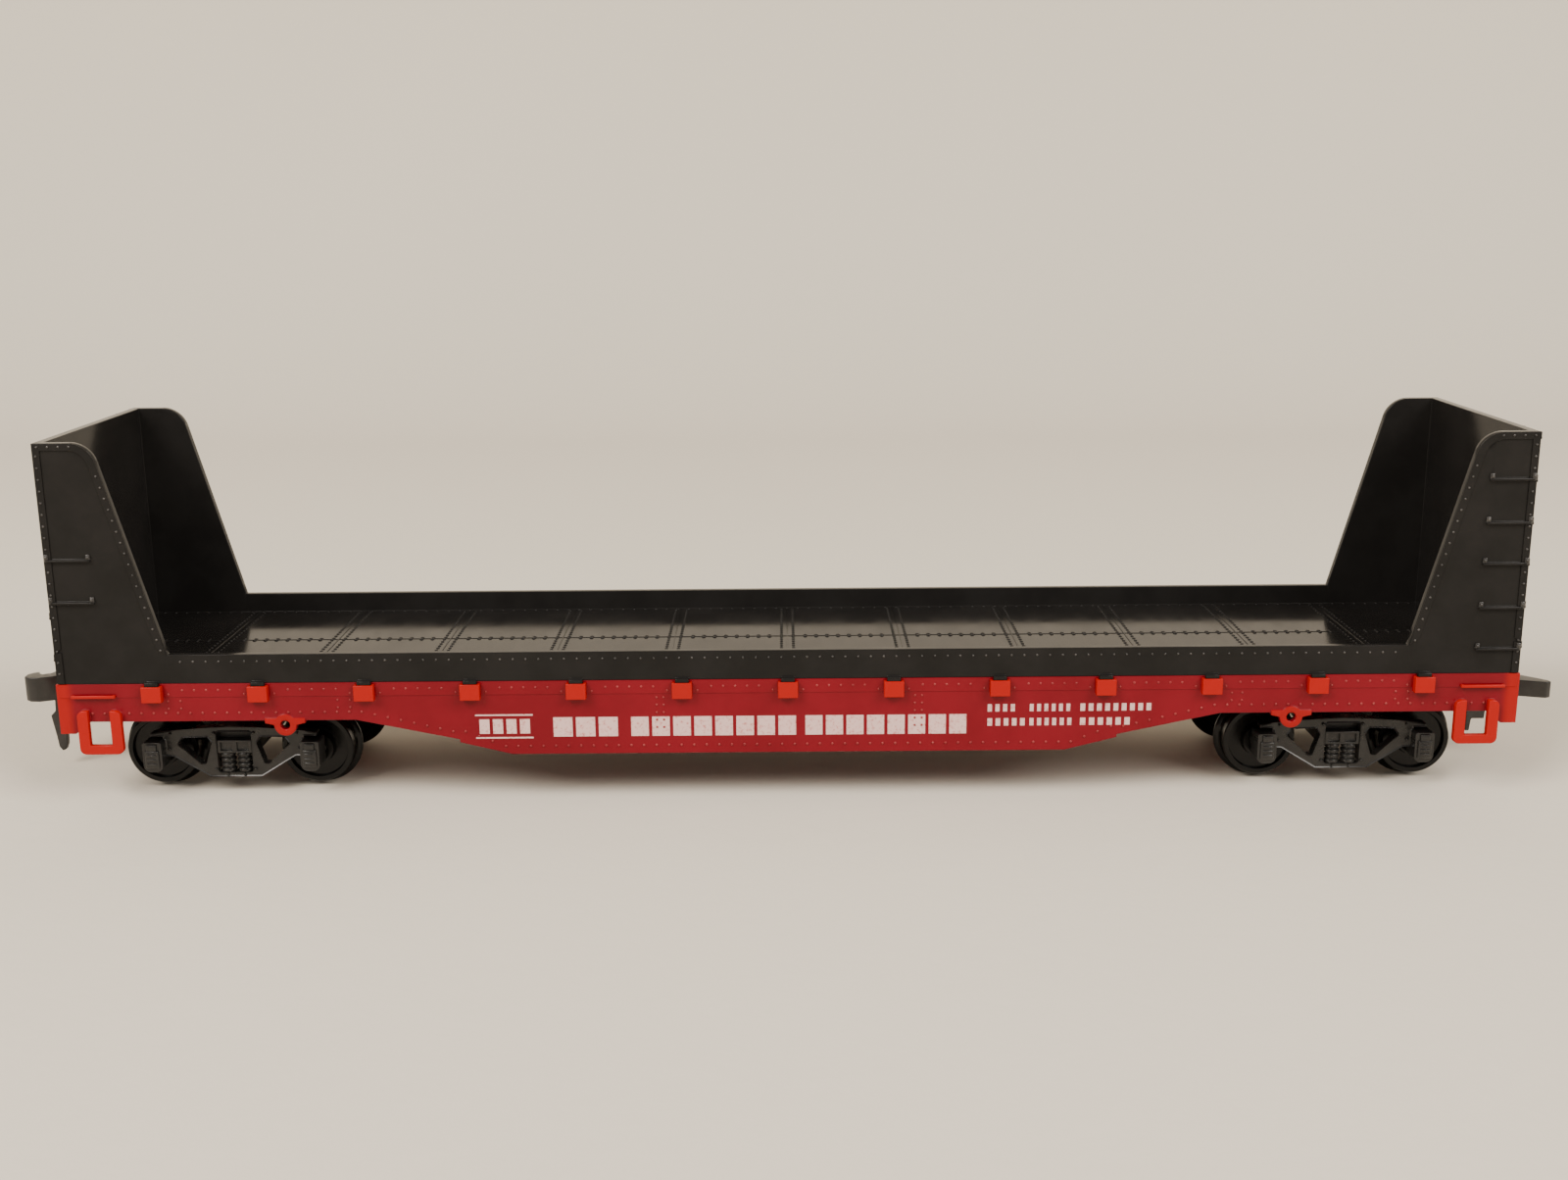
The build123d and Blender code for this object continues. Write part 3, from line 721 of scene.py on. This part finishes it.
def makeWingBands(settings):
    bands = []
    footX, footZ = settings["foot"]
    headX, headZ = settings["head"]
    for end in (-1, 1):
        for side in (-1, 1):
            bands.append(makeWingBand(settings, end, side))
            x1, x2 = spread(end, settings["end"] - settings["band"], settings["end"])
            y1, y2 = spread(side, sillFace - seatDepth * mm, sillFace + settings["proud"] * mm)
            low = (x1 * mm, y1, sillTop + 0.1 * mm)
            high = (x2 * mm, y2, (footZ + settings["footOver"]) * mm)
            bands.append(makeBlock(low, high, settings["footEdge"] * mm))
    piece = joinPieces(bands, "wing_bands")
    bevel = piece.modifiers.new("edges", "BEVEL")
    bevel.width = settings["edge"] * mm
    bevel.segments = 2
    bevel.limit_method = "ANGLE"
    bevel.angle_limit = radians(settings["sharp"])
    applyModifiers(piece)
    finishPiece(piece, finishes["black_plastic"], "car_body")

    rows = []
    pitch = settings["rivetPitch"]
    size = settings["rivetSize"]
    slope = Vector((headX - footX, 0, headZ - footZ)).normalized()
    inward = Vector((slope.z, 0, -slope.x)) * settings["rivetIn"]
    corner = Vector((footX, 0, footZ))
    footRun, headRun = settings["leanRun"]
    topZ = headZ - settings["rivetIn"]
    for end in (-1, 1):
        flip = Vector((end, 1, 1))
        for side, facing in ((-1, "front"), (1, "back")):
            y = side * (sillFace / mm + settings["proud"])
            out = Vector((0, y, 0))
            foot = (corner + slope * footRun + inward) * flip + out
            head = (corner + slope * headRun + inward) * flip + out
            rows.append(rivetLine(facing, foot, head, pitch, size))
            x1, x2 = (end * x for x in settings["topRun"])
            rows.append(rivetLine(facing, (x1, y, topZ), (x2, y, topZ), settings["topPitch"], size))
            x = end * (settings["end"] - settings["rivetIn"])
            foot, head = (x, y, settings["endFoot"]), (x, y, headZ - settings["endGap"])
            rows.append(rivetLine(facing, foot, head, pitch, size))
    piece = joinPieces(rows, "wing_rivets", headSmooth)
    # the wing rivets take the paler black, a painted highlight
    finishPiece(piece, highlitBlack, "car_body")
    print("wing bands and rivets")


# flat feet and bolts of the ladder rungs
ladderSettings = {
    "tall": (41.0, 35.5, 30.25, 24.55, 19.15), "short": (32.1, 26.6), "ends": (87.7, 92.95),
    "tallEnd": (46.1, 40.7, 35.3, 30.0, 24.5, 19.25), "shortEnd": (24.5, 19.0), "across": (11.5, 16.4),
    "footWide": 0.27, "footOut": 0.30, "footTall": 0.95, "footDrop": 0.17, "footEdge": 0.08,
    "boltUp": 0.62, "boltSize": 1.1,
}


def makeLadderFeet(settings):
    # each rung is a bent bar: a flat foot turned up at either end, with a bolt head on it
    pieces = []
    wide = settings["footWide"] * mm
    out = settings["footOut"] * mm
    tallFoot = settings["footTall"] * mm
    drop = settings["footDrop"] * mm
    edge = settings["footEdge"] * mm
    for end in (-1, 1):
        for side, facing in ((-1, "front"), (1, "back")):
            tall = end * side < 0
            y1, y2 = spread(side, sillFace - seatDepth * mm, sillFace + out)
            for z in settings["tall" if tall else "short"]:
                low = z * mm + flangeDepth - drop
                for x in settings["ends"]:
                    middle = end * x * mm
                    foot = makeBlock((middle - wide, y1, low), (middle + wide, y2, low + tallFoot), edge)
                    bolt = (end * x, side * (sillFace + out) / mm, low / mm + settings["boltUp"])
                    pieces += [foot, oneRivet(facing, bolt, settings["boltSize"])]
            x1, x2 = spread(end, bulkheadFace - seatDepth * mm, bulkheadFace + out)
            for z in settings["tallEnd" if tall else "shortEnd"]:
                low = z * mm + flangeDepth - drop
                for y in settings["across"]:
                    middle = side * y * mm
                    pieces.append(makeBlock((x1, middle - wide, low), (x2, middle + wide, low + tallFoot),
                                            edge))
    piece = joinPieces(pieces, "ladder_feet", blockSmooth)
    # the ladder feet and bolts take the paler black, a painted highlight
    finishPiece(piece, highlitBlack, "car_body")
    print("ladder feet")


# covers, bolts and hinges on the truck sideframes
truckDetail = {
    "boxX": 10.3, "boxFace": 14.0, "boxSeat": 0.1, "lidWide": 1.8, "lidLow": 3.5, "lidHigh": 5.9,
    "lidOut": 0.30, "lidEdge": 0.16, "hingeHigh": 6.75, "hingeShare": 0.72, "hingeEdge": 0.12,
    "ribs": 3, "ribTall": 0.26, "ribOut": 0.16, "ribShare": 0.7, "ribEdge": 0.09, "plateFace": 12.5,
    "bolts": [(2.62, 7.75, 1.0), (2.62, 2.75, 0.9), (8.35, 7.65, 0.9), (8.5, 5.6, 0.9), (1.1, 2.0, 0.8)],
}


def makeJournalLid(settings, x, y1, y2, side):
    # lid of one journal box, its hinge block on top and the ribs across it
    wide = settings["lidWide"] / 2 * mm
    low = settings["lidLow"] * mm + flangeDepth
    high = settings["lidHigh"] * mm + flangeDepth
    lid = makeBlock((x - wide, y1, low), (x + wide, y2, high), settings["lidEdge"] * mm)
    hinge = wide * settings["hingeShare"]
    hingeTop = settings["hingeHigh"] * mm + flangeDepth
    block = makeBlock((x - hinge, y1, high - seatDepth * mm), (x + hinge, y2, hingeTop),
                      settings["hingeEdge"] * mm)
    pieces = [lid, block]
    out = side * settings["ribOut"] * mm
    r1, r2 = sorted((y1 + out, y2 + out))
    ribWide = wide * settings["ribShare"]
    ribHalf = settings["ribTall"] / 2 * mm
    step = (high - low) / (settings["ribs"] + 1)
    for rib in range(settings["ribs"]):
        z = low + step * (rib + 1)
        pieces.append(makeBlock((x - ribWide, r1, z - ribHalf), (x + ribWide, r2, z + ribHalf),
                                settings["ribEdge"] * mm))
    return pieces


def makeTruckDetail(settings, name, end):
    pieces = []
    face = settings["boxFace"] * mm
    for side, facing in ((-1, "front"), (1, "back")):
        y1, y2 = spread(side, face - settings["boxSeat"] * mm, face + settings["lidOut"] * mm)
        for half in (-1, 1):
            x = end * truckX + half * settings["boxX"] * mm
            pieces += makeJournalLid(settings, x, y1, y2, side)
            for boltX, boltZ, size in settings["bolts"]:
                place = (end * truckX / mm + half * boltX, side * settings["plateFace"],
                         boltZ + flangeDepth / mm)
                pieces.append(oneRivet(facing, place, size))
    piece = joinPieces(pieces, f"truck_detail_{name}", blockSmooth)
    finishPiece(piece, finishes["truck_plastic"], f"truck_{name}")
    print("truck detail", name)


# printed bars in place of lettering
printSettings = {
    "thickness": 0.03, "seat": 0.02, "edge": 0.012, "gap": 0.22,
    "lines": [(-40.2, -32.8, 11.25, 11.45), (-40.2, -32.8, 8.2, 8.4)],
    "runs": [(-39.7, -33.2, 8.85, 10.8, 4), (-30.2, -21.9, 8.4, 11.0, 3), (-20.2, 1.0, 8.4, 11.0, 8),
             (2.2, 22.9, 8.4, 11.0, 8), (25.6, 29.1, 11.3, 12.3, 4), (31.0, 36.2, 11.3, 12.3, 6),
             (37.5, 46.6, 11.3, 12.3, 9), (25.6, 30.4, 9.4, 10.4, 5), (31.0, 36.4, 9.4, 10.4, 6),
             (37.5, 43.9, 9.4, 10.4, 6)],
}


def makePrintedBars(settings):
    # rows of small plain bars stand where words and numbers were printed
    bars = list(settings["lines"])
    for left, right, low, high, count in settings["runs"]:
        step = (right - left + settings["gap"] * 2) / count
        for index in range(count):
            start = left + index * step
            bars.append((start, start + step - settings["gap"] * 2, low, high))
    pieces = []
    for side in (-1, 1):
        inner, outer = sillFace - settings["seat"] * mm, sillFace + settings["thickness"] * mm
        y1, y2 = spread(side, inner, outer)
        for left, right, low, high in bars:
            x1, x2 = spread(-side, left, right)
            pieces.append(makeBlock((x1 * mm, y1, low * mm + flangeDepth),
                                    (x2 * mm, y2, high * mm + flangeDepth), settings["edge"] * mm, 1))
    piece = joinPieces(pieces, "printed_bars")
    finishPiece(piece, palePrint, "car_body")
    print("printed bars")


# stage and light
stageSettings = {
    "size": 5, "bendY": 0.30, "bendRadius": 0.16, "bendSteps": 24, "high": 2.5,
    "colour": (0.70, 0.645, 0.555), "texture": 0.15,
}


def makeStage(settings):
    # pale table that sweeps up into the backdrop without a corner
    size = settings["size"]
    bendY = settings["bendY"]
    deselectAll()
    bpy.ops.mesh.primitive_plane_add(size=size, location=(0, bendY - size / 2, 0))
    sweep = settle(bpy.context.object, "stage_sweep")
    bpy.ops.object.mode_set(mode="EDIT")
    selectEdges(lambda edge: all(vertex.co.y > bendY - 0.001 for vertex in edge.verts))
    bpy.ops.mesh.spin(steps=settings["bendSteps"], angle=radians(-90), axis=(1, 0, 0),
                      center=(0, bendY, settings["bendRadius"]))
    bpy.ops.mesh.extrude_region_move(TRANSFORM_OT_translate={"value": (0, 0, settings["high"])})
    bpy.ops.object.mode_set(mode="OBJECT")
    bpy.ops.object.shade_smooth()
    sweep.data.materials.append(stageFinish("paleSweep", settings["colour"], settings["texture"]))
    print("stage", [round(length, 3) for length in sweep.dimensions])


lightSettings = [
    {"name": "left", "place": (-0.55, -0.55, 0.70), "size": 0.5, "power": 13.0, "tint": (1, 0.93, 0.84)},
    {"name": "right", "place": (0.60, -0.50, 0.60), "size": 0.5, "power": 10.0, "tint": (1, 0.94, 0.86)},
]
aimPoint = Vector((0, 0, 0.02))
worldSettings = {"tint": (1, 0.95, 0.88, 1), "strength": 0.45}


def makeLights(settings):
    for light in settings:
        bpy.ops.object.light_add(type="AREA", location=light["place"])
        lamp = bpy.context.object
        lamp.name = light["name"] + "Light"
        lamp.data.energy = light["power"]
        lamp.data.size = light["size"]
        lamp.data.color = light["tint"]
        aim = aimPoint - Vector(light["place"])
        lamp.rotation_euler = aim.to_track_quat("-Z", "Y").to_euler()
    print("lights", len(settings))


def makeWorld(settings):
    world = bpy.data.worlds.new("studio")
    world.use_nodes = True
    background = world.node_tree.nodes["Background"]
    background.inputs["Color"].default_value = settings["tint"]
    background.inputs["Strength"].default_value = settings["strength"]
    bpy.context.scene.world = world


makeCamera(viewSettings)
for nodeName, node in cadNodes.items():
    node.data.materials.clear()
    node.data.materials.append(finishes[slotOf[nodeName]])
for nodeName, width in softEdges.items():
    softenPart(softSettings, nodeName, width)
print("moulded parts softened")
makeSillRivets(sillRivets)
makeSillBands(sillBand)
makeDeckRivets(deckRivets)
makeSkirtRivets(deckRivets)
makeDeckSeams(seamSettings)
makeWingBands(wingSettings)
makeLadderFeet(ladderSettings)
makePrintedBars(printSettings)
for name, end in (("a", -1), ("b", 1)):
    makeTruckDetail(truckDetail, name, end)
for stocked in rivetStock.values():
    bpy.data.objects.remove(stocked)
makeStage(stageSettings)
makeLights(lightSettings)
makeWorld(worldSettings)
